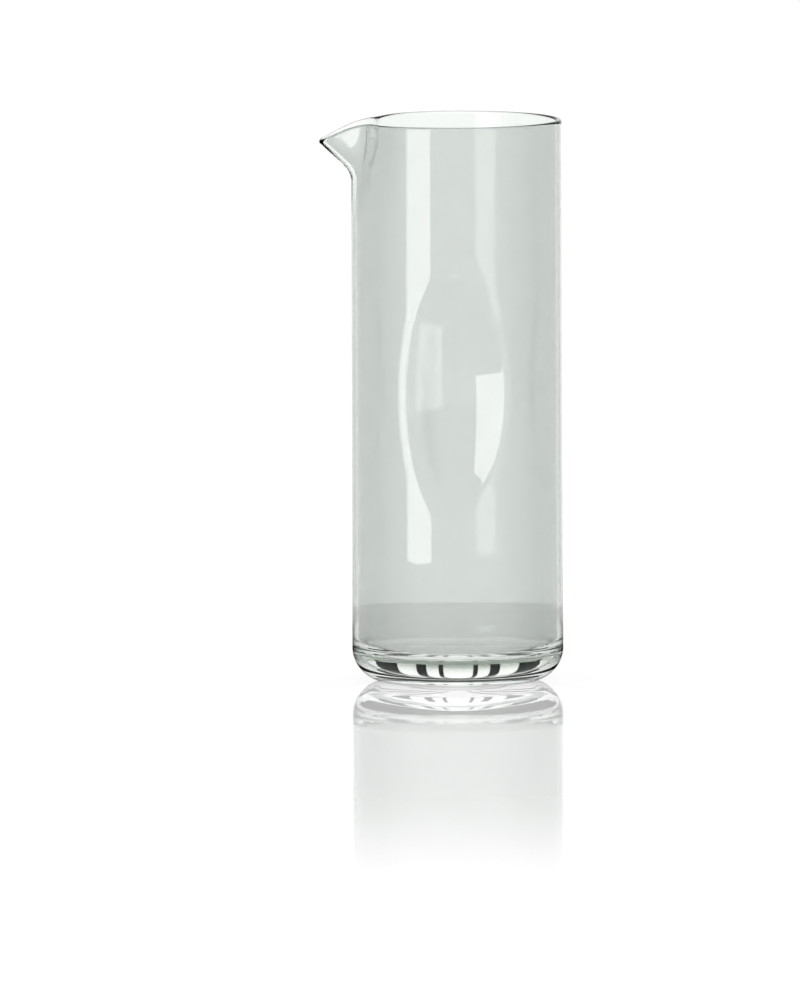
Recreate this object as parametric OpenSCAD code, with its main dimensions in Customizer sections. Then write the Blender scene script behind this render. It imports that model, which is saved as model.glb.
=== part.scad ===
// Cased glass water carafe. Frame: +Z up, origin on the axis in the plane it stands on,
// pouring lip towards -X, one thumb grip towards -Y and one towards +Y. Millimetres.

/* [Body] */
// Outside diameter of the straight body
body_d = 90; // [80:1:110]
// Height from the resting plane to the crest of the rim
body_h = 240; // [225:1:280]
// Thickness of the whole wall, both layers of glass together
wall_t = 2.4; // [1.6:0.1:4]
// Thickness of the clear outer layer in the wall
casing_t = 1.2; // [0.6:0.1:1.4]

/* [Base] */
// Thickness of the clear glass under the tinted layer
base_t = 11; // [7:0.5:14]
// Radius of the rounded corner between the resting face and the wall
foot_r = 14.5; // [10:0.5:20]
// Thickness of the tinted layer at the inside floor
floor_t = 1.4; // [1.2:0.1:5]
// Radius of the tinted layer's lower corner, on its outside
lining_r = 8; // [5:0.5:12]

/* [Pouring lip] */
// How far the lip's tip stands out from the straight wall
lip_reach = 13.1; // [6:0.1:16]
// How far the rim falls at the lip's tip
lip_drop = 8.2; // [4:0.1:14]
// Half of the lip's width, where it stands out by half of its reach
lip_half_w = 15; // [10:0.5:18]
// Slope of the lip's underside, as reach for each millimetre of rise
lip_slope = 1.1; // [0.8:0.05:1.4]
// Length over which the wall turns out into the lip
lip_turn = 8; // [4:0.5:14]
// Height of the wall that the lip is drawn from, below the rim
lip_h = 44; // [30:1:50]
// How deep the wall is nipped in towards the lip, on both sides of it
nip_depth = 6.5; // [0:0.1:8]
// Gentle fall of the rim around the lip's root
shoulder_drop = 0.7; // [0:0.1:3]

/* [Thumb grips] */
// Greatest depth of each grip
grip_depth = 12.4; // [4:0.1:16]
// Height of each grip
grip_h = 98; // [60:1:110]
// Height of the grips' middle above the resting plane
grip_z = 125; // [100:1:140]
// Softness of the grips' edge: how far the fold is drawn out each way
grip_soft = 1.2; // [0.5:0.1:4]
// Softness of each grip's left edge, as seen from outside
grip_left_soft = 5.5; // [0.5:0.1:7]

/* [Hidden] */

body_r = body_d / 2;
lining_t = wall_t - casing_t;
bead_r = wall_t / 2;
rim_z = body_h - bead_r;
lining_outer_r = body_r - casing_t;
cavity_r = body_r - wall_t;
floor_z = base_t + floor_t;
floor_r = lining_r - lining_t;
wall_low = base_t + lining_r;
lip_low = rim_z - lip_h;
lip_tip_z = rim_z - lip_drop - shoulder_drop;
grip_half_h = grip_h / 2;

// Angles, in degrees, that the lip's nip and the rim's gentle fall reach from the lip's middle
nip_spread = 63.5;
shoulder_spread = 83;
// The lip's cross-section falls off by this power of the distance from its middle
lip_section_power = 4.4;
// The rim falls by this power of the share of the lip's reach
lip_fall_power = 1.65;
// The lip has run out at this share of its half width
lip_end_share = 1.5;
// Degrees that the grips' middles lie towards the lip from the sides
grip_lean = 1.4;
// The softness of the grips' edge changes over this share of the radius
grip_ease_share = 0.6;
corner_rows = 4;
bead_rows = 3;
// Small steps along the wall, from which its direction is measured
step_angle = 0.05;
step_up_share = 0.0002;
step_up = step_up_share * body_h;
smooth = 96;

// A ramp that is 0 below -soft and x above +soft, with a smooth turn between
function soft_ramp(x, soft) =
    x <= -soft ? 0 : x >= soft ? x : (x + soft) * (x + soft) / (4 * soft);

// A bump that is 1 at 0 and reaches 0 at +1 and -1 with no kink
function bump(s) = abs(s) < 1 ? (1 - s * s) * (1 - s * s) : 0;

// A smooth way from 0 to 1, while s goes from 0 to 1
function ease(s) = let(u = max(0, min(1, s))) u * u * (3 - 2 * u);

// Degrees round from the lip's middle line, 0 to 180
function off_lip(a) = abs(a - 180);

// Share of the lip's reach at an angle
function lip_share(a) = off_lip(a) >= 90 ? 0
    : pow(2, -pow(body_r * abs(sin(a)) / lip_half_w, lip_section_power));

// Crest height of the rim, less its bead, at an angle
function local_rim(a) =
    rim_z - lip_drop * pow(lip_share(a), lip_fall_power)
        - shoulder_drop * bump(off_lip(a) / shoulder_spread);

// Radius of the outside under the grips and the lip: straight, and rounded in at the foot
function plain_r(z) =
    z >= foot_r ? body_r : body_r - foot_r + sqrt(foot_r * foot_r - (foot_r - z) * (foot_r - z));

// Softness of a grip's edge, at a distance to the right of the grip's middle
function edge_soft(right) =
    grip_soft + (grip_left_soft - grip_soft) * ease(-right / (grip_ease_share * body_r));

// How far a grip folds the wall in, where the plain wall stands this far out on the grip's middle line
function grip_fold(out, right, z) =
    let(soft = edge_soft(right))
    2 * soft_ramp(out - body_r
        + grip_depth / 2 * (1 - pow((z - grip_z) / grip_half_h, 2)) + grip_soft - soft, soft);

// A point of the outside: angle from +X, and the level that it would have in a plain straight wall
function outer_point(a, level) =
    let(
        share = lip_share(a),
        rise = max(0, (level - lip_low) / lip_h),
        z = level <= lip_low ? level : lip_low + rise * (local_rim(a) - lip_low),
        flare = lip_slope * soft_ramp(
            lip_reach / lip_slope - (1 - rise) * (lip_tip_z - lip_low), lip_turn / 2),
        nip = nip_depth * bump(off_lip(a) / nip_spread) * (1 - share)
            * bump(min(1, 1 - rise)),
        r = plain_r(level) - nip,
        x = r * cos(a),
        y = r * sin(a),
        side = -sign(y),
        fold = grip_fold(
            abs(y) * cos(grip_lean) - x * sin(grip_lean),
            side * (x * cos(grip_lean) + abs(y) * sin(grip_lean)), z)
    )
    [x - flare * share + fold * sin(grip_lean), y + side * fold * cos(grip_lean), z];

// The way up along the wall at a point, as a unit vector
function up_wall(a, level) =
    let(d = outer_point(a, level + step_up) - outer_point(a, level - step_up))
    d / norm(d);

// The way out of the glass at a point, as a unit vector
function outward(a, level) =
    let(
        round = outer_point(a + step_angle, level) - outer_point(a - step_angle, level),
        n = cross(round, up_wall(a, level))
    )
    n / norm(n);

// A point at a depth under the outside
function skin_point(a, level, depth) = outer_point(a, level) - depth * outward(a, level);

// A point of the fire-polished bead of the rim: 0 degrees is outside, 180 inside
function bead_point(a, turn) =
    outer_point(a, rim_z) + bead_r * (cos(turn) - 1) * outward(a, rim_z)
        + bead_r * sin(turn) * up_wall(a, rim_z);

// Where the two layers part on the bead
bead_split = acos(1 - casing_t / bead_r);

// Steps through bands that each have their own count of equal steps
function banded(ends, counts) = concat(
    [for (b = [0 : len(counts) - 1]) for (i = [0 : counts[b] - 1])
        ends[b] + (ends[b + 1] - ends[b]) * i / counts[b]],
    [ends[len(counts)]]);

// Where the lip ends, off its own middle, and a grip, off the grip's middle, in degrees
lip_edge = asin(lip_end_share * lip_half_w / body_r);
grip_edge = acos((body_r - grip_depth / 2 - grip_soft) / body_r);
// A grip's soft edge runs on to here above and below its middle
grip_reach = grip_half_h * sqrt(1 + 2 * grip_soft / grip_depth);
grip_top = grip_z + grip_reach;

// Facets round half the wall, from the lip's middle: the lip, a flank, a grip and the back
HALF_ROUND = banded(
    [0, lip_edge, 90 - grip_lean - grip_edge, 90 - grip_lean + grip_edge, 180], [7, 3, 16, 6]);
half_facets = len(HALF_ROUND) - 1;
facets = 2 * half_facets;
ANGLES = concat(
    [for (i = [half_facets : -1 : 1]) 180 - HALF_ROUND[i]],
    [for (i = [0 : half_facets - 1]) 180 + HALF_ROUND[i]]);

// Levels up the wall: under the grips, the grips, above them, and the lip
LEVELS = banded(
    [wall_low, grip_z - grip_reach, grip_top, max(lip_low, grip_top + wall_t), rim_z],
    [2, 17, 1, 12]);
rows = len(LEVELS) - 1;

function ring(r, z) = [for (a = ANGLES) [r * cos(a), r * sin(a), z]];
function skin_ring(level, depth) = [for (a = ANGLES) skin_point(a, level, depth)];
function bead_ring(turn) = [for (a = ANGLES) bead_point(a, turn)];

// Rings of a rounded inside corner, from the flat below to the wall above
function corner_rings(wall_r, low_z, corner_r) = [for (i = [0 : corner_rows])
    let(t = 90 * i / corner_rows)
    ring(wall_r - corner_r * (1 - sin(t)), low_z + corner_r * (1 - cos(t)))];

// The face where the two layers meet, from the base up to the bead
function seam_rings() = concat(
    corner_rings(lining_outer_r, base_t, lining_r),
    [for (i = [1 : rows]) skin_ring(LEVELS[i], casing_t)],
    [bead_ring(bead_split)]);

// The clear outside, from the base up to the bead
function outside_rings() = concat(
    [for (i = [0 : corner_rows - 1]) skin_ring(base_t + lining_r * i / corner_rows, 0)],
    [for (level = LEVELS) skin_ring(level, 0)],
    [for (i = [1 : bead_rows - 1]) bead_ring(bead_split * i / bead_rows)]);

// The tinted inside, from the floor up to the bead
function inside_rings() = concat(
    corner_rings(cavity_r, floor_z, floor_r),
    [for (level = LEVELS) if (level > floor_z + floor_r) skin_ring(level, wall_t)],
    [for (i = [1 : bead_rows - 1]) bead_ring(180 - (180 - bead_split) * i / bead_rows)]);

function reversed(list) = [for (i = [len(list) - 1 : -1 : 0]) list[i]];

// Whether a four-cornered facet is split by a diagonal that rises to the right, seen from outside:
// each is split along the edge of the grip or the lip that it lies by
function splits_rising(middle) = (middle.x * middle.y > 0) == (middle.z > grip_z);

// A solid skinned over rings that follow each other: closed on itself, or capped at both ends
module skinned(rings, closed) {
    n = facets;
    m = len(rings);
    last = closed ? m - 1 : m - 2;
    polyhedron(
        points = [for (r = rings) each r],
        faces = concat(
            [for (i = [0 : last]) for (j = [0 : n - 1])
                let(
                    k = (i + 1) % m, l = (j + 1) % n,
                    upwards = rings[k][j].z > rings[i][j].z,
                    across = splits_rising((rings[i][j] + rings[k][l]) / 2) == upwards
                )
                each across
                    ? [[i * n + j, k * n + j, k * n + l], [i * n + j, k * n + l, i * n + l]]
                    : [[i * n + j, k * n + j, i * n + l], [i * n + l, k * n + j, k * n + l]]],
            closed ? [] : [
                [for (j = [0 : n - 1]) j],
                [for (j = [n - 1 : -1 : 0]) (m - 1) * n + j]]),
        convexity = 6);
}

module smoke_lining() {
    color([0.60, 0.66, 0.62, 0.7])
        skinned(concat(seam_rings(), reversed(inside_rings())), false);
}

module clear_casing() {
    color([0.90, 0.93, 0.92, 0.4])
        skinned(concat(outside_rings(), reversed(seam_rings())), true);
}

module clear_base() {
    color([0.93, 0.95, 0.94, 0.4])
        rotate_extrude($fn = smooth)
            intersection() {
                square([body_r, base_t]);
                union() {
                    square([body_r - foot_r, base_t]);
                    translate([body_r - foot_r, foot_r]) circle(foot_r, $fn = smooth);
                    translate([0, foot_r]) square([body_r, base_t]);
                }
            }
}

smoke_lining();
clear_casing();
clear_base();
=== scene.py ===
# Looks of the cased glass water carafe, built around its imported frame.
# Metres, +Z up, origin on the axis in the plane it stands on, pouring lip towards -X.

from math import acos, asin, cos, pi, radians, sin, sqrt

import bpy
from mathutils import Matrix, Vector


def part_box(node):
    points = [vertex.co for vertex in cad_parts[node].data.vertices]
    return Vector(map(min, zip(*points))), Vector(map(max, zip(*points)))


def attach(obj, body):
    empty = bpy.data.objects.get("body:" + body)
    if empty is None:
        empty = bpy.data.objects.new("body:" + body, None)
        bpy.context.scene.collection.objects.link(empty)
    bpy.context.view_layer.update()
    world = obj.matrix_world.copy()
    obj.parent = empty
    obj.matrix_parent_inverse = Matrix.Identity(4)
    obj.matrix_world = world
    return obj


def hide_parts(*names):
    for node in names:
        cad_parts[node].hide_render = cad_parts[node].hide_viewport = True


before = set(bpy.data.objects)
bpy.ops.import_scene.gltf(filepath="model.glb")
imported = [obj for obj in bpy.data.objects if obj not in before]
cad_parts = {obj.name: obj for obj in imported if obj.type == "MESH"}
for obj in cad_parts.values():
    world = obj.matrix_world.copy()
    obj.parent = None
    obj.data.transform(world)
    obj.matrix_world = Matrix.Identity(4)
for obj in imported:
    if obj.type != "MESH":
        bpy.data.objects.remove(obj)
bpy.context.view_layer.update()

MM = 0.001

# The glass, with the same driving sizes as the part's source
BODY_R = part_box("clear_casing")[1].x
BODY_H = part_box("smoke_lining")[1].z
BASE_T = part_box("clear_base")[1].z
WALL_T = 2.4 * MM
CASING_T = 1.2 * MM
FOOT_R = 14.5 * MM
FLOOR_T = 1.4 * MM
LINING_R = 8 * MM
BEAD_R = WALL_T / 2
RIM_Z = BODY_H - BEAD_R
FLOOR_Z = BASE_T + FLOOR_T
FLOOR_R = LINING_R - (WALL_T - CASING_T)
# Where the casing and the lining part on the bead, as a turn from its outer side
BEAD_SPLIT = acos(1 - CASING_T / BEAD_R)
SEAM_LOW = BASE_T + LINING_R

# The sizes that the wall's rule takes, by the name of their input; angles in radians
WALL_SIZES = {
    "Body Radius": BODY_R,
    "Rim Height": RIM_Z,
    "Lip Reach": 13.1 * MM,
    "Lip Drop": 8.2 * MM,
    "Lip Half Width": 15 * MM,
    "Lip Slope": 1.1,
    "Lip Turn": 8 * MM,
    "Lip Height": 44 * MM,
    "Lip Section Power": 4.4,
    "Lip Fall Power": 1.65,
    "Nip Depth": 6.5 * MM,
    "Nip Spread": radians(63.5),
    "Shoulder Drop": 0.7 * MM,
    "Shoulder Spread": radians(83),
    "Grip Depth": 12.4 * MM,
    "Grip Height": 98 * MM,
    "Grip Middle": 125 * MM,
    "Grip Softness": 1.2 * MM,
    "Grip Left Softness": 5.5 * MM,
    "Grip Ease Share": 0.6,
    "Grip Lean": radians(1.4),
}

# How finely the layers are drawn
COLUMNS = 320
LIP_CROWDING = 0.45
LOW_ROWS = 6
GRIP_ROWS = 64
UPPER_ROWS = 5
LIP_ROWS = 40
BEAD_ROWS = 8
CORNER_ROWS = 12
SHARP_FROM = radians(40)
# Two fused layers are kept this far apart, so that their faces never share a place
FUSE_GAP = 0.01 * MM
# A face belongs to the fused border from this mean of its corners' values on
FUSED_FROM = 0.99
# Small steps along the wall, from which its direction is measured
STEP_AROUND = radians(0.05)
STEP_UP = 0.05 * MM
MERGE_WITHIN = 0.001 * MM
# What each point of a section carries
SECTION_VALUES = ("radius", "level", "depth", "lift", "fused")

# The glasses: what each face lets through, and what the tinted glass takes from light on the way
GLASS_IOR = 1.5
CLEAR_TINT = (1.0, 1.0, 1.0)
CASING_TINT = (0.745, 0.772, 0.752)
SMOKE_TINT = (0.530, 0.545, 0.533)
SMOKE_SOAK = (0.53, 0.57, 0.53)
SMOKE_DENSITY = 36.0
WHITE = (1.0, 1.0, 1.0, 1.0)
BLACK = (0.0, 0.0, 0.0, 1.0)

# The studio as the glass mirrors it, by the angle round from straight behind the carafe: white, then
# dark at the sides, then brighter than white in front
WHITE_UNTIL = radians(10)
DARK_FROM = radians(30)
DARK_UNTIL = radians(78)
PALE_FROM = radians(152)
FRONT_LEVEL = 2.3
# The white behind the glass outshines the picture's white this much, so that it shows through the tint
BRIGHT_THROUGH_GLASS = 1.45

# The glossy white table and the white floor beyond it. Distances are from the carafe's axis
FLOOR_HALF = 25.0
FLOOR_DROP = 0.03 * MM
# White by its own glow and by its paint, which together make the picture's white and keep a shadow
FLOOR_GLOW = 0.70
FLOOR_PALE = 0.36
# The gloss fades out from the carafe, so that its reflection doesn't run on
FLOOR_ROUGHNESS = 0.03
GLOSS_FADE_FROM = 0.40
GLOSS_FADE_TO = 0.92
# Seen through the glass, the table is duller than the white behind it, up to its back edge
TABLE_BACK = 0.339
TABLE_THROUGH_GLASS = 0.79
# Mirrored by the glass, the floor is dark close to the carafe and white further out: a painted contact
# shadow, put into the floor's glow and paint for the glass's mirror alone
MIRROR_PAINTED_SHADOW = 0.25
MIRROR_PAINTED_SHADOW_WITHIN = 0.06
MIRROR_WHITE_FROM = 0.16

# The tall softbox, once as the front wall mirrors it and once as the back wall does: name, whether
# it is the back wall, angle left of the camera, distance, width, low end, top end, strength
STRIPS = (
    ("strip_in_front_wall", False, radians(41.4), 0.49, 0.235, 0.010, 0.365, 5.0),
    ("strip_in_back_wall", True, radians(36.5), 0.26, 0.118, 0.020, 0.260, 6.0),
)
# A ray is mirrored once, give or take a half. One that the back wall mirrors has been bent more often
MIRRORED_ONCE = (1.0, 0.5)
BENT_BY_FRONT_WALL = 2.5

# What stands dark behind the table, by where it shows in the sole: shares of its radius off its middle
STAND_SHARES = ((0.125, 0.165), (0.27, 0.36), (0.54, 0.78))
STAND_DISTANCE = 0.30
STAND_HEIGHT = 0.30
STAND_LIFT = 0.015 * MM
# A ray that comes through the sole has been bent once or twice, and has passed this many fused faces
BENT_BY_SOLE = (0.5, 2.5)
FUSED_BY_SOLE = 5.5

# How often a ray may turn in the glass, and how many fused faces it may pass
GLASS_BOUNCES = 32
FUSED_BOUNCES = 64

# What the camera of the photograph sees, in pixels of its 800 x 1000 frame
PICTURE_H = 1000
PICTURE_MIDDLE = (400, 500)
FOOT_PIXEL = (458, 680)
METRES_PER_PIXEL = 0.4265 * MM
CAMERA_DISTANCE = 14.0
CAMERA_ELEVATION = radians(5.45)
CAMERA_AZIMUTH = radians(1.6)
CAMERA_ROLL = radians(0.2)
SENSOR = 36.0


class Term:
    """A value inside a node tree, so that a rule is written as a sum."""

    def __init__(self, tree, socket):
        self.tree = tree
        self.socket = socket

    def math(self, operation, *others):
        node = self.tree.nodes.new("ShaderNodeMath")
        node.operation = operation
        for slot, value in zip(node.inputs, (self, *others)):
            feed(self.tree, slot, value)
        return Term(self.tree, node.outputs[0])

    def __add__(self, other):
        return self.math("ADD", other)

    def __sub__(self, other):
        return self.math("SUBTRACT", other)

    def __rsub__(self, other):
        return constant(self.tree, other).math("SUBTRACT", self)

    def __mul__(self, other):
        return self.math("MULTIPLY", other)

    def __rmul__(self, other):
        return self.math("MULTIPLY", other)

    def __truediv__(self, other):
        return self.math("DIVIDE", other)

    def __pow__(self, power):
        return self.math("POWER", power)

    def __neg__(self):
        return self.math("MULTIPLY", -1.0)

    def __abs__(self):
        return self.math("ABSOLUTE")

    def least(self, other):
        return self.math("MINIMUM", other)

    def most(self, other):
        return self.math("MAXIMUM", other)


def constant(tree, value):
    node = tree.nodes.new("ShaderNodeValue")
    node.outputs[0].default_value = value
    return Term(tree, node.outputs[0])


def feed(tree, slot, value):
    """Links a term or a socket into a slot, or types a plain value into it."""
    if isinstance(value, Term):
        tree.links.new(value.socket, slot)
    elif isinstance(value, bpy.types.NodeSocket):
        tree.links.new(value, slot)
    else:
        slot.default_value = value


def add_node(tree, kind, settings=None, **inputs):
    """Adds a node; inputs are given by their names, with _ for a space."""
    node = tree.nodes.new(kind)
    for name, value in (settings or {}).items():
        setattr(node, name, value)
    for name, value in inputs.items():
        wanted = name.replace("_", " ")
        slot = next(s for s in node.inputs if s.name == wanted and s.enabled)
        feed(tree, slot, value)
    return node


def vector_math(tree, operation, *values):
    node = tree.nodes.new("ShaderNodeVectorMath")
    node.operation = operation
    for slot, value in zip(node.inputs, values):
        feed(tree, slot, value)
    return node.outputs["Vector"]


def scaled(tree, vector, factor):
    node = tree.nodes.new("ShaderNodeVectorMath")
    node.operation = "SCALE"
    feed(tree, node.inputs[0], vector)
    feed(tree, node.inputs["Scale"], factor)
    return node.outputs["Vector"]


def soft_ramp(x, soft):
    """0 below -soft and x above +soft, with a smooth turn between."""
    held = x.most(-soft).least(soft)
    return (held + soft) ** 2 / (4 * soft) + (x - soft).most(0.0)


def bump(x):
    """1 at 0, and reaches 0 at +1 and -1 with no kink."""
    return (1.0 - abs(x).least(1.0) ** 2) ** 2


def ease(x):
    """0 up to 0 and 1 from 1 on, with a smooth way between."""
    held = x.most(0.0).least(1.0)
    return held * held * (3.0 - 2.0 * held)


def wall_point_group():
    """Where a point of the carafe's outside is, from how far round and how high up it lies."""
    tree = bpy.data.node_groups.new("Wall point", "GeometryNodeTree")
    for name in ("Around", "Level", "Radius", *WALL_SIZES):
        tree.interface.new_socket(name, in_out="INPUT", socket_type="NodeSocketFloat")
    tree.interface.new_socket("Point", in_out="OUTPUT", socket_type="NodeSocketVector")
    start = tree.nodes.new("NodeGroupInput")
    size = {s.name: Term(tree, s) for s in start.outputs if s.name}
    around, level, radius = size["Around"], size["Level"], size["Radius"]
    body_r, rim_z = size["Body Radius"], size["Rim Height"]
    off_lip = abs(around)

    across = off_lip.least(pi / 2).math("SINE") * body_r / size["Lip Half Width"]
    share = constant(tree, 2.0) ** (-(across ** size["Lip Section Power"]))
    local_rim = (rim_z - size["Lip Drop"] * share ** size["Lip Fall Power"]
                 - size["Shoulder Drop"] * bump(off_lip / size["Shoulder Spread"]))

    lip_low = rim_z - size["Lip Height"]
    lip_tip_z = rim_z - size["Lip Drop"] - size["Shoulder Drop"]
    rise = ((level - lip_low) / size["Lip Height"]).most(0.0)
    z = level.least(lip_low) + rise * (local_rim - lip_low)
    flare = size["Lip Slope"] * soft_ramp(
        size["Lip Reach"] / size["Lip Slope"] - (1.0 - rise) * (lip_tip_z - lip_low),
        size["Lip Turn"] / 2)
    nip = (size["Nip Depth"] * bump(off_lip / size["Nip Spread"])
           * (1.0 - share) * bump((1.0 - rise).least(1.0)))

    r = radius - nip
    x = -(r * around.math("COSINE"))
    y = -(r * around.math("SINE"))
    lean_cos = size["Grip Lean"].math("COSINE")
    lean_sin = size["Grip Lean"].math("SINE")
    side = -y.math("SIGN")
    along = (x * lean_cos + abs(y) * lean_sin) * side
    soft = size["Grip Softness"] + (size["Grip Left Softness"] - size["Grip Softness"]) * ease(
        -along / (size["Grip Ease Share"] * body_r))
    height_share = (z - size["Grip Middle"]) / (size["Grip Height"] / 2)
    fold = 2 * soft_ramp(
        abs(y) * lean_cos - x * lean_sin - body_r
        + size["Grip Depth"] / 2 * (1.0 - height_share * height_share)
        + size["Grip Softness"] - soft, soft)
    point = tree.nodes.new("ShaderNodeCombineXYZ")
    feed(tree, point.inputs["X"], x - flare * share + fold * lean_sin)
    feed(tree, point.inputs["Y"], y + side * fold * lean_cos)
    feed(tree, point.inputs["Z"], z)
    end = tree.nodes.new("NodeGroupOutput")
    tree.links.new(point.outputs[0], end.inputs["Point"])
    return tree


def glass_layer_tree():
    """One layer of glass: its section, as points with values, is carried round by the wall's rule."""
    tree = bpy.data.node_groups.new("Glass layer", "GeometryNodeTree")
    face = tree.interface
    face.new_socket("Geometry", in_out="INPUT", socket_type="NodeSocketGeometry")
    face.new_socket("Columns", in_out="INPUT", socket_type="NodeSocketInt")
    face.new_socket("Lip Crowding", in_out="INPUT", socket_type="NodeSocketFloat")
    face.new_socket("Material", in_out="INPUT", socket_type="NodeSocketMaterial")
    for name in WALL_SIZES:
        face.new_socket(name, in_out="INPUT", socket_type="NodeSocketFloat")
    face.new_socket("Geometry", in_out="OUTPUT", socket_type="NodeSocketGeometry")
    start = tree.nodes.new("NodeGroupInput")
    section = start.outputs["Geometry"]
    columns = Term(tree, start.outputs["Columns"])

    domain = add_node(tree, "GeometryNodeAttributeDomainSize", Geometry=section)
    rows = Term(tree, domain.outputs["Point Count"])
    grid = add_node(tree, "GeometryNodeMeshGrid", Vertices_X=columns + 1.0, Vertices_Y=rows)
    index = Term(tree, tree.nodes.new("GeometryNodeInputIndex").outputs[0])
    column = ((index + 0.5) / rows).math("FLOOR")
    row = index - column * rows

    value = {}
    for name in SECTION_VALUES:
        stored = add_node(tree, "GeometryNodeInputNamedAttribute", {"data_type": "FLOAT"}, Name=name)
        sample = add_node(tree, "GeometryNodeSampleIndex", {"data_type": "FLOAT"},
                          Geometry=section, Value=stored.outputs["Attribute"], Index=row)
        value[name] = Term(tree, next(s for s in sample.outputs if s.enabled))

    turn = (column / columns) * (2 * pi) - pi
    around = turn - Term(tree, start.outputs["Lip Crowding"]) * turn.math("SINE")
    wall_rule = wall_point_group()

    def wall_point(step_around, step_up):
        node = tree.nodes.new("GeometryNodeGroup")
        node.node_tree = wall_rule
        feed(tree, node.inputs["Around"], around + step_around)
        feed(tree, node.inputs["Level"], value["level"] + step_up)
        feed(tree, node.inputs["Radius"], value["radius"])
        for name in WALL_SIZES:
            feed(tree, node.inputs[name], start.outputs[name])
        return node.outputs["Point"]

    round_way = vector_math(tree, "SUBTRACT", wall_point(STEP_AROUND, 0.0), wall_point(-STEP_AROUND, 0.0))
    rising = vector_math(tree, "SUBTRACT", wall_point(0.0, STEP_UP), wall_point(0.0, -STEP_UP))
    up_wall = vector_math(tree, "NORMALIZE", rising)
    outward = vector_math(tree, "NORMALIZE", vector_math(tree, "CROSS_PRODUCT", round_way, up_wall))
    sunk = vector_math(tree, "SUBTRACT", wall_point(0.0, 0.0), scaled(tree, outward, value["depth"]))
    place = vector_math(tree, "ADD", sunk, scaled(tree, up_wall, value["lift"]))

    kept = add_node(tree, "GeometryNodeStoreNamedAttribute", {"data_type": "FLOAT", "domain": "POINT"},
                    Geometry=grid.outputs["Mesh"], Name="fused_rows", Value=value["fused"])
    placed = add_node(tree, "GeometryNodeSetPosition", Geometry=kept.outputs[0], Position=place)
    between = add_node(tree, "GeometryNodeInputNamedAttribute", {"data_type": "FLOAT"}, Name="fused_rows")
    whole = Term(tree, next(s for s in between.outputs if s.enabled)).math("GREATER_THAN", FUSED_FROM)
    faced = add_node(tree, "GeometryNodeStoreNamedAttribute", {"data_type": "FLOAT", "domain": "FACE"},
                     Geometry=placed.outputs[0], Name="fused", Value=whole)
    closed = add_node(tree, "GeometryNodeMergeByDistance", Geometry=faced.outputs[0], Distance=MERGE_WITHIN)
    smooth = add_node(tree, "GeometryNodeSetShadeSmooth", Geometry=closed.outputs[0])
    real = add_node(tree, "GeometryNodeRealizeInstances", Geometry=smooth.outputs[0])
    dressed = add_node(tree, "GeometryNodeSetMaterial", Geometry=real.outputs[0],
                       Material=start.outputs["Material"])
    end = tree.nodes.new("NodeGroupOutput")
    tree.links.new(dressed.outputs[0], end.inputs["Geometry"])
    return tree


def steps(first, last, count):
    """Equal steps from first up to, and without, last."""
    return [first + (last - first) * i / count for i in range(count)]


def foot_radius(z):
    """How wide the outside is at a level of the rounded foot."""
    return BODY_R - FOOT_R + sqrt(FOOT_R ** 2 - (FOOT_R - min(z, FOOT_R)) ** 2)


def wall_levels(first):
    """Levels up the wall from first to the rim: plain wall, grips, plain wall and lip."""
    grip_reach = WALL_SIZES["Grip Height"] / 2 * sqrt(
        1 + 2 * WALL_SIZES["Grip Softness"] / WALL_SIZES["Grip Depth"])
    grip_low = WALL_SIZES["Grip Middle"] - grip_reach
    grip_top = WALL_SIZES["Grip Middle"] + grip_reach
    lip_low = RIM_Z - WALL_SIZES["Lip Height"]
    return (steps(first, grip_low, LOW_ROWS) + steps(grip_low, grip_top, GRIP_ROWS)
            + steps(grip_top, lip_low, UPPER_ROWS) + steps(lip_low, RIM_Z, LIP_ROWS) + [RIM_Z])


def skin_rows(first, depth, fused):
    """Up the wall from first to the rim, at a depth under its outside."""
    return [(BODY_R, level, depth, 0.0, fused) for level in wall_levels(first)]


def bead_rows(turns):
    """Over the rim's round bead, by the turn from its outer side."""
    return [(BODY_R, RIM_Z, BEAD_R * (1 - cos(t)), BEAD_R * sin(t), 0.0) for t in turns]


def corner_rows(wall_r, low_z, corner_r, fused):
    """A rounded inside corner, from the flat below to the wall above."""
    turns = steps(0, pi / 2, CORNER_ROWS) + [pi / 2]
    return [(wall_r - corner_r * (1 - sin(t)), low_z + corner_r * (1 - cos(t)), 0.0, 0.0, fused)
            for t in turns]


def casing_section():
    """The clear outer layer: up the outside, over the bead's outer half, and down the fused face."""
    outside = [(foot_radius(BASE_T), BASE_T, 0.0, 0.0, 1.0)]
    outside += [(foot_radius(z), z, 0.0, 0.0, 0.0) for z in steps(BASE_T, FOOT_R, CORNER_ROWS)]
    outside += skin_rows(FOOT_R, 0.0, 0.0)
    outside += bead_rows(steps(0, BEAD_SPLIT, BEAD_ROWS)[1:])
    crest = [(BODY_R, RIM_Z, CASING_T, BEAD_R * sin(BEAD_SPLIT), 1.0)]
    seam = skin_rows(SEAM_LOW, CASING_T - FUSE_GAP, 1.0)[::-1]
    corner = corner_rows(BODY_R - CASING_T + FUSE_GAP, BASE_T, LINING_R, 1.0)[:-1][::-1]
    return outside + crest + seam + corner, True


def lining_section():
    """The tinted inner cup: out along its underside, up the fused face, over the bead and down inside."""
    under = [(0.0, BASE_T, 0.0, 0.0, 1.0)]
    under += corner_rows(BODY_R - CASING_T, BASE_T, LINING_R, 1.0)[:-1]
    under += skin_rows(SEAM_LOW, CASING_T, 1.0)
    crest = [(BODY_R, RIM_Z, CASING_T, BEAD_R * sin(BEAD_SPLIT), 1.0)]
    bead = bead_rows(steps(BEAD_SPLIT, pi, BEAD_ROWS)[1:])
    inside = skin_rows(FLOOR_Z + FLOOR_R, WALL_T, 0.0)[::-1]
    inside += corner_rows(BODY_R - WALL_T, FLOOR_Z, FLOOR_R, 0.0)[:-1][::-1]
    return under + crest + bead + inside + [(0.0, FLOOR_Z, 0.0, 0.0, 0.0)], False


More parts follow.
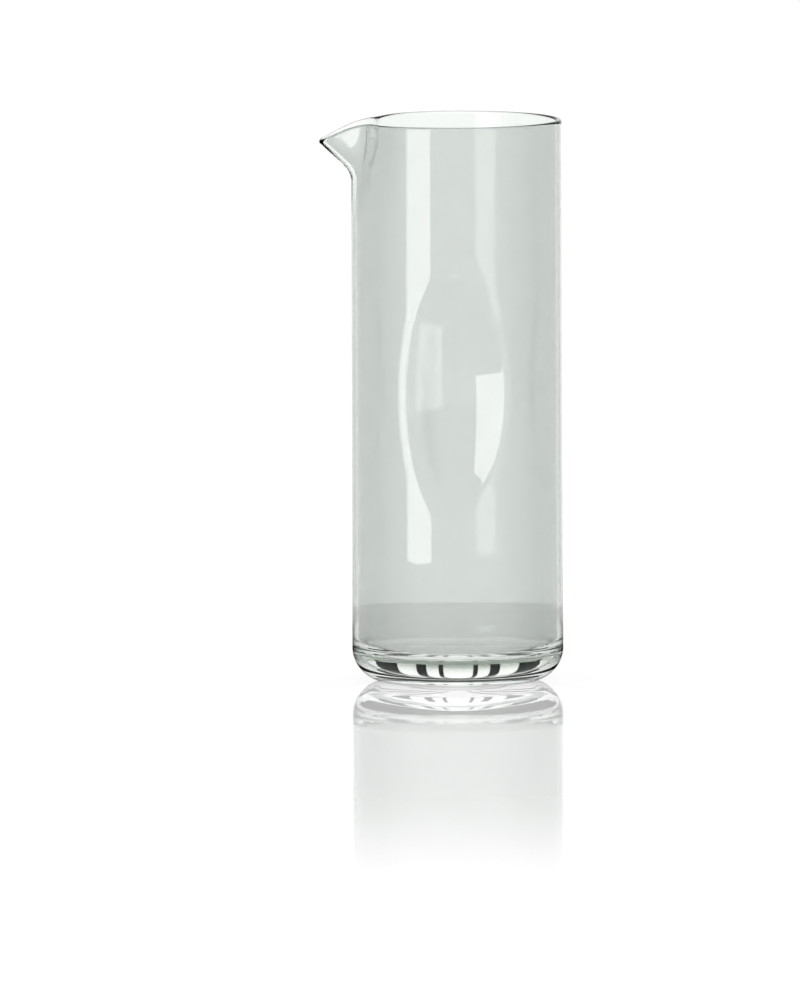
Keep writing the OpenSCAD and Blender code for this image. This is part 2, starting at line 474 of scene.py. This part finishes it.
def base_section():
    """The clear sole: out along the fused face, down round the foot and in along the resting face.

    The fused face is folded, so that a ray through the sole is told by how many of them it passes.
    """
    top = [(r, BASE_T - gaps * FUSE_GAP, 0.0, 0.0, 1.0)
           for r, gaps in ((0.0, 1), (foot_radius(BASE_T), 1), (0.0, 2), (foot_radius(BASE_T), 3))]
    last = asin((FOOT_R - BASE_T) / FOOT_R)
    turns = steps(last, pi / 2, 2 * CORNER_ROWS)[1:] + [pi / 2]
    foot = [(BODY_R - FOOT_R + FOOT_R * cos(t), FOOT_R - FOOT_R * sin(t), 0.0, 0.0, 0.0) for t in turns]
    return (top + foot + [(0.0, 0.0, 0.0, 0.0, 0.0)])[::-1], False


def glass_piece(name, section, tree, material):
    """Runs the layer tree on a section and keeps the plain mesh that comes of it."""
    rows, looped = section
    if looped:
        rows = rows + rows[:1]
    points = bpy.data.meshes.new(name + "_section")
    points.from_pydata([(0.0, 0.0, i * MM) for i in range(len(rows))], [], [])
    for k, value_name in enumerate(SECTION_VALUES):
        values = points.attributes.new(value_name, "FLOAT", "POINT")
        values.data.foreach_set("value", [row[k] for row in rows])
    piece = bpy.data.objects.new(name, points)
    bpy.context.scene.collection.objects.link(piece)
    modifier = piece.modifiers.new("Glass layer", "NODES")
    modifier.node_group = tree
    given = {"Columns": COLUMNS, "Lip Crowding": LIP_CROWDING, "Material": material, **WALL_SIZES}
    for item in tree.interface.items_tree:
        if item.in_out == "INPUT" and item.name in given:
            modifier[item.identifier] = given[item.name]
    bpy.context.view_layer.update()
    seen = piece.evaluated_get(bpy.context.evaluated_depsgraph_get())
    mesh = bpy.data.meshes.new_from_object(seen)
    piece.modifiers.remove(modifier)
    mesh.name = name
    mesh.attributes.remove(mesh.attributes["fused_rows"])
    mesh.set_sharp_from_angle(angle=SHARP_FROM)
    piece.data = mesh
    bpy.data.meshes.remove(points)
    return piece


def empty_material(name):
    material = bpy.data.materials.new(name)
    material.use_nodes = True
    material.node_tree.nodes.clear()
    return material, material.node_tree


def end_material(tree, shader):
    end = tree.nodes.new("ShaderNodeOutputMaterial")
    tree.links.new(shader, end.inputs["Surface"])
    return end


def smooth_step(tree, value, first, last, low, high):
    """Goes from low at first to high at last, with a smooth way between."""
    step = add_node(tree, "ShaderNodeMapRange", {"interpolation_type": "SMOOTHSTEP"}, Value=value,
                    From_Min=first, From_Max=last, To_Min=low, To_Max=high)
    return Term(tree, step.outputs[0])


def glass_material(name, tint, soaked=None):
    """Glass, left out where it is fused to the next layer. soaked is a tint's colour and density."""
    material, tree = empty_material(name)
    fused = tree.nodes.new("ShaderNodeAttribute")
    fused.attribute_name = "fused"
    shown = 1.0 - Term(tree, fused.outputs["Fac"])
    glass = add_node(tree, "ShaderNodeBsdfPrincipled", Base_Color=(*tint, 1.0), Roughness=0.0,
                     IOR=GLASS_IOR, Alpha=shown, Transmission_Weight=1.0)
    end = end_material(tree, glass.outputs[0])
    if soaked:
        color, density = soaked
        tinted = add_node(tree, "ShaderNodeVolumeAbsorption", Color=(*color, 1.0), Density=density)
        tree.links.new(tinted.outputs[0], end.inputs["Volume"])
    return material


def studio_group():
    """How bright the studio looks in a mirror: white behind the carafe, dark beside it, pale in front."""
    tree = bpy.data.node_groups.new("Dark side of the studio", "ShaderNodeTree")
    face = tree.interface
    face.new_socket("Vector", in_out="INPUT", socket_type="NodeSocketVector")
    face.new_socket("White", in_out="OUTPUT", socket_type="NodeSocketFloat")
    start = tree.nodes.new("NodeGroupInput")
    split = tree.nodes.new("ShaderNodeSeparateXYZ")
    tree.links.new(start.outputs["Vector"], split.inputs[0])
    side = abs(Term(tree, split.outputs["X"])).math("ARCTAN2", Term(tree, split.outputs["Y"]))
    behind = smooth_step(tree, side, WHITE_UNTIL, DARK_FROM, 1.0, 0.0)
    front = smooth_step(tree, side, DARK_UNTIL, PALE_FROM, 0.0, FRONT_LEVEL)
    end = tree.nodes.new("NodeGroupOutput")
    feed(tree, end.inputs["White"], behind + front)
    return tree


def studio_rays(tree, studio, way):
    """How white the studio is that way, and whether a ray has come through glass or off a mirror."""
    dark_side = tree.nodes.new("ShaderNodeGroup")
    dark_side.node_tree = studio
    tree.links.new(way, dark_side.inputs["Vector"])
    light = tree.nodes.new("ShaderNodeLightPath")
    through = Term(tree, light.outputs["Is Transmission Ray"])
    mirrored = Term(tree, light.outputs["Is Singular Ray"]) * (1.0 - through)
    return Term(tree, dark_side.outputs["White"]), through, mirrored


def build_world(studio):
    world = bpy.data.worlds.new("Studio")
    bpy.context.scene.world = world
    world.use_nodes = True
    tree = world.node_tree
    tree.nodes.clear()
    way = tree.nodes.new("ShaderNodeTexCoord")
    white, through, mirrored = studio_rays(tree, studio, way.outputs["Generated"])
    strength = 1.0 - mirrored * (1.0 - white) + through * (BRIGHT_THROUGH_GLASS - 1.0)
    shine = add_node(tree, "ShaderNodeBackground", Color=WHITE, Strength=strength)
    end = tree.nodes.new("ShaderNodeOutputWorld")
    tree.links.new(shine.outputs[0], end.inputs["Surface"])


def end_with_mix(tree, share, first, second):
    """Ends a material that goes from the first shader to the second with the share."""
    mixed = tree.nodes.new("ShaderNodeMixShader")
    feed(tree, mixed.inputs[0], share)
    tree.links.new(first, mixed.inputs[1])
    tree.links.new(second, mixed.inputs[2])
    end_material(tree, mixed.outputs[0])


def floor_material(studio):
    """White that glows and is lit, with a gloss that is left out where the glass shows the floor."""
    material, tree = empty_material("White acrylic table")
    place = tree.nodes.new("ShaderNodeTexCoord")
    white, through, mirrored = studio_rays(tree, studio, place.outputs["Object"])
    far = tree.nodes.new("ShaderNodeVectorMath")
    far.operation = "LENGTH"
    tree.links.new(place.outputs["Object"], far.inputs[0])
    away = Term(tree, far.outputs["Value"])
    on_table = away.math("LESS_THAN", TABLE_BACK)
    table_through_glass = BRIGHT_THROUGH_GLASS * (1.0 - on_table * (1.0 - TABLE_THROUGH_GLASS))
    # Painted contact shadow: where the glass mirrors the floor, its glow and paint are made darker close to
    # the carafe
    lit = smooth_step(tree, away, MIRROR_PAINTED_SHADOW_WITHIN, MIRROR_WHITE_FROM, MIRROR_PAINTED_SHADOW, 1.0)
    seen = 1.0 - mirrored * (1.0 - white * lit) + through * (table_through_glass - 1.0)
    glow = add_node(tree, "ShaderNodeEmission", Color=WHITE, Strength=seen * FLOOR_GLOW)
    grey = tree.nodes.new("ShaderNodeCombineColor")
    for slot in ("Red", "Green", "Blue"):
        feed(tree, grey.inputs[slot], seen * FLOOR_PALE)
    pale = add_node(tree, "ShaderNodeBsdfDiffuse", Color=grey.outputs[0])
    matt = tree.nodes.new("ShaderNodeAddShader")
    tree.links.new(glow.outputs[0], matt.inputs[0])
    tree.links.new(pale.outputs[0], matt.inputs[1])
    gloss = add_node(tree, "ShaderNodeBsdfGlossy", Color=WHITE, Roughness=FLOOR_ROUGHNESS)
    fade = smooth_step(tree, away, GLOSS_FADE_FROM, GLOSS_FADE_TO, 1.0, 0.0)
    bend = Term(tree, add_node(tree, "ShaderNodeFresnel", IOR=GLASS_IOR).outputs[0])
    share = bend * fade * (1.0 - mirrored) * (1.0 - through)
    end_with_mix(tree, share, matt.outputs[0], gloss.outputs[0])
    return material


def flat_object(name, points, faces, material):
    mesh = bpy.data.meshes.new(name)
    mesh.from_pydata(points, [], faces)
    mesh.materials.append(material)
    flat = bpy.data.objects.new(name, mesh)
    bpy.context.scene.collection.objects.link(flat)
    return flat


def build_floor(studio):
    h = FLOOR_HALF
    corners = [(x, y, -FLOOR_DROP) for x, y in ((-h, -h), (h, -h), (h, h), (-h, h))]
    floor = flat_object("floor", corners, [(0, 1, 2, 3)], floor_material(studio))


def show_where(tree, share, shader):
    """Ends a material that shows a shader on the given rays, and nothing on the others."""
    clear = tree.nodes.new("ShaderNodeBsdfTransparent")
    end_with_mix(tree, share, clear.outputs[0], shader)


def show_in_glass_alone(flat):
    """Keeps a thing that stands about out of the picture, the light on the floor and the shadows."""
    flat.visible_camera = False
    flat.visible_diffuse = False
    flat.visible_shadow = False


def build_strip_lights():
    """The tall softbox on the camera's left, seen only where the glass mirrors it."""
    for name, in_back_wall, left_of_camera, distance, width, low_end, top_end, strength in STRIPS:
        material, tree = empty_material(name)
        shine = add_node(tree, "ShaderNodeEmission", Color=WHITE, Strength=strength)
        light = tree.nodes.new("ShaderNodeLightPath")
        mirrored_once = Term(tree, light.outputs["Glossy Depth"]).math("COMPARE", *MIRRORED_ONCE)
        bent = Term(tree, light.outputs["Transmission Depth"])
        by_back_wall = bent.math("GREATER_THAN", BENT_BY_FRONT_WALL)
        by_this_wall = by_back_wall if in_back_wall else 1.0 - by_back_wall
        show_where(tree, mirrored_once * by_this_wall, shine.outputs[0])
        way = CAMERA_AZIMUTH - left_of_camera
        middle = Vector((sin(way), -cos(way), 0)) * distance
        side = Vector((cos(way), sin(way), 0)) * width / 2
        left, right = middle - side, middle + side
        low, top = Vector((0, 0, low_end)), Vector((0, 0, top_end))
        corners = [left + low, right + low, right + top, left + top]
        strip = flat_object(name, corners, [(0, 1, 2, 3)], material)
        show_in_glass_alone(strip)


def build_dark_stands():
    """Dark stands behind the carafe and their footprints, which show only through the thick sole."""
    material, tree = empty_material("Dark stand")
    light = tree.nodes.new("ShaderNodeLightPath")
    bent = Term(tree, light.outputs["Transmission Depth"])
    fused_faces = Term(tree, light.outputs["Transparent Depth"])
    least, most = BENT_BY_SOLE
    by_sole = (bent.math("GREATER_THAN", least) * bent.math("LESS_THAN", most)
               * fused_faces.math("GREATER_THAN", FUSED_BY_SOLE))
    dark = add_node(tree, "ShaderNodeBsdfDiffuse", Color=BLACK)
    show_where(tree, by_sole, dark.outputs[0])

    def foot_of(share, away):
        """The point under a ray that met the sole at a share of its radius, this far past the glass."""
        enters, bends = asin(share), asin(share / GLASS_IOR)
        leaves = 2 * bends - enters + CAMERA_AZIMUTH
        way = 2 * (enters - bends) + CAMERA_AZIMUTH
        return Vector((-sin(leaves), cos(leaves), 0)) * BODY_R + Vector((-sin(way), cos(way), 0)) * away

    points = []
    faces = []
    sink = Vector((0, 0, -STAND_LIFT))
    rise = Vector((0, 0, STAND_HEIGHT))
    for first, last in STAND_SHARES:
        for side in (-1, 1):
            start = [foot_of(side * first, 0), foot_of(side * last, 0)]
            feet = [foot_of(side * first, STAND_DISTANCE), foot_of(side * last, STAND_DISTANCE)]
            n = len(points)
            points += [start[0] + sink, start[1] + sink, feet[1] + sink, feet[0] + sink]
            points += [feet[0] + rise, feet[1] + rise]
            faces += [(n, n + 1, n + 2, n + 3), (n + 3, n + 2, n + 5, n + 4)]
    stands = flat_object("dark_stands", points, faces, material)
    show_in_glass_alone(stands)


def build_camera():
    back = Vector((sin(CAMERA_AZIMUTH) * cos(CAMERA_ELEVATION),
                   -cos(CAMERA_AZIMUTH) * cos(CAMERA_ELEVATION), sin(CAMERA_ELEVATION)))
    level_right = Vector((cos(CAMERA_AZIMUTH), sin(CAMERA_AZIMUTH), 0))
    level_up = back.cross(level_right)
    right = level_right * cos(CAMERA_ROLL) - level_up * sin(CAMERA_ROLL)
    up = level_up * cos(CAMERA_ROLL) + level_right * sin(CAMERA_ROLL)
    aside = (FOOT_PIXEL[0] - PICTURE_MIDDLE[0]) * METRES_PER_PIXEL
    below = (FOOT_PIXEL[1] - PICTURE_MIDDLE[1]) * METRES_PER_PIXEL
    aim = up * below - right * aside
    data = bpy.data.cameras.new("Camera")
    data.sensor_fit = "VERTICAL"
    data.sensor_height = SENSOR
    data.lens = SENSOR * CAMERA_DISTANCE / (PICTURE_H * METRES_PER_PIXEL)
    data.clip_end = 4 * CAMERA_DISTANCE
    camera = bpy.data.objects.new("Camera", data)
    turn = Matrix((right, up, back)).transposed().to_4x4()
    camera.matrix_world = Matrix.Translation(aim + back * CAMERA_DISTANCE) @ turn
    bpy.context.scene.collection.objects.link(camera)
    bpy.context.scene.camera = camera


def build_carafe():
    tree = glass_layer_tree()
    clear = glass_material("Clear crystal", CLEAR_TINT)
    cased = glass_material("Cased crystal", CASING_TINT)
    smoke = glass_material("Smoke glass", SMOKE_TINT, soaked=(SMOKE_SOAK, SMOKE_DENSITY))
    pieces = (
        ("cased_wall", "clear_casing", casing_section(), cased, "clear_glass"),
        ("smoke_cup", "smoke_lining", lining_section(), smoke, "smoke_glass"),
        ("heavy_sole", "clear_base", base_section(), clear, "clear_glass"),
    )
    for name, node, section, material, slot in pieces:
        piece = glass_piece(name, section, tree, material)
        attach(piece, "root")
        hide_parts(node)


scene = bpy.context.scene
scene.view_settings.view_transform = "Standard"
scene.cycles.max_bounces = GLASS_BOUNCES
scene.cycles.transmission_bounces = GLASS_BOUNCES
scene.cycles.glossy_bounces = GLASS_BOUNCES
scene.cycles.transparent_max_bounces = FUSED_BOUNCES

build_camera()
studio = studio_group()
build_world(studio)
build_floor(studio)
build_strip_lights()
build_dark_stands()
build_carafe()
